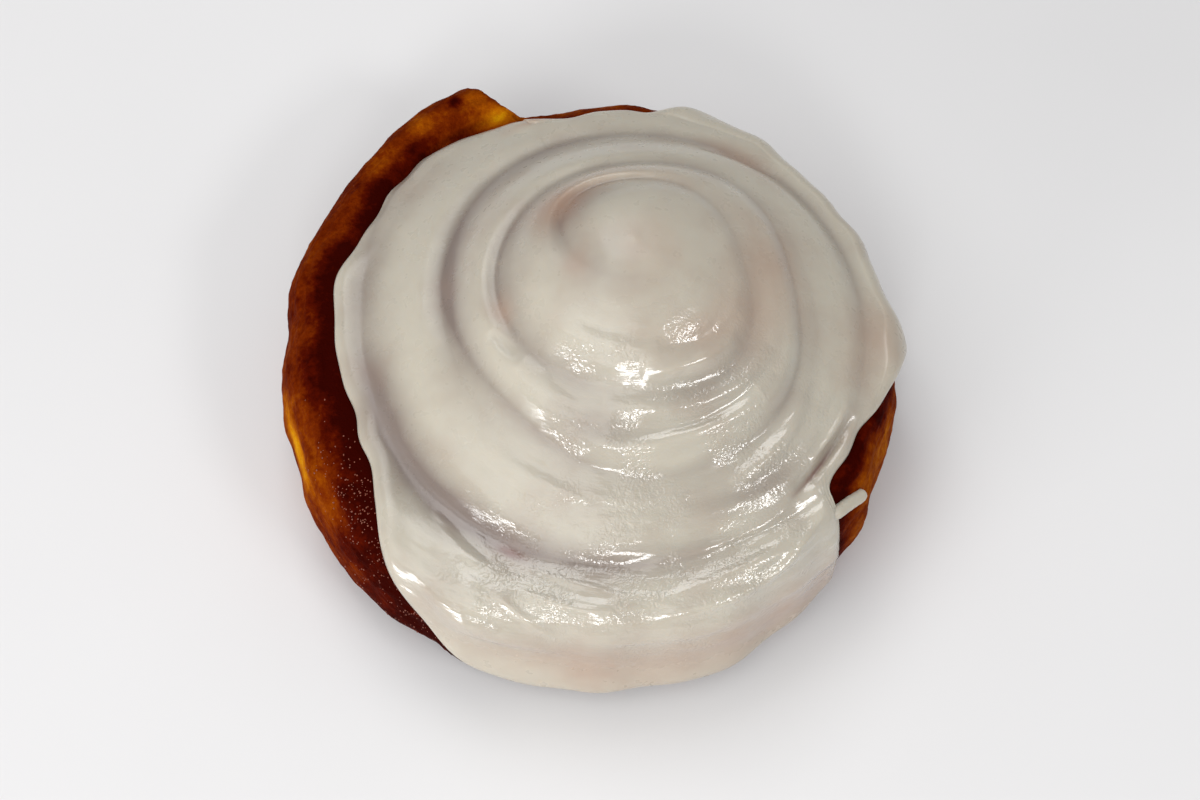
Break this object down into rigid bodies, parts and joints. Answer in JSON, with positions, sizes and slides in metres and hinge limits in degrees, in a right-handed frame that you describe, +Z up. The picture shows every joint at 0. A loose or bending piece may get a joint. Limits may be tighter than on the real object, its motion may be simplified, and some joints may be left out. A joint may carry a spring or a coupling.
{
  "type": "cinnamon bun",
  "caption": "Iced cinnamon bun: a coiled mound of baked dough with a free strip end and a flat base, under poured icing that leaves browned crust bare at the sides.",
  "frame": {"origin": "middle of the bounding box on the flat base", "axes": "+Z up, -Y towards the side where the icing runs down to the base, +X towards the small bare patch"},
  "size_m": [0.116, 0.1202, 0.0538],
  "materials": {
    "crust": "browned baked crust, satin",
    "icing": "glossy sugar icing"
  },
  "bodies": {
    "root": {"bun": "crust", "icing": "icing"}
  },
  "joints": []
}
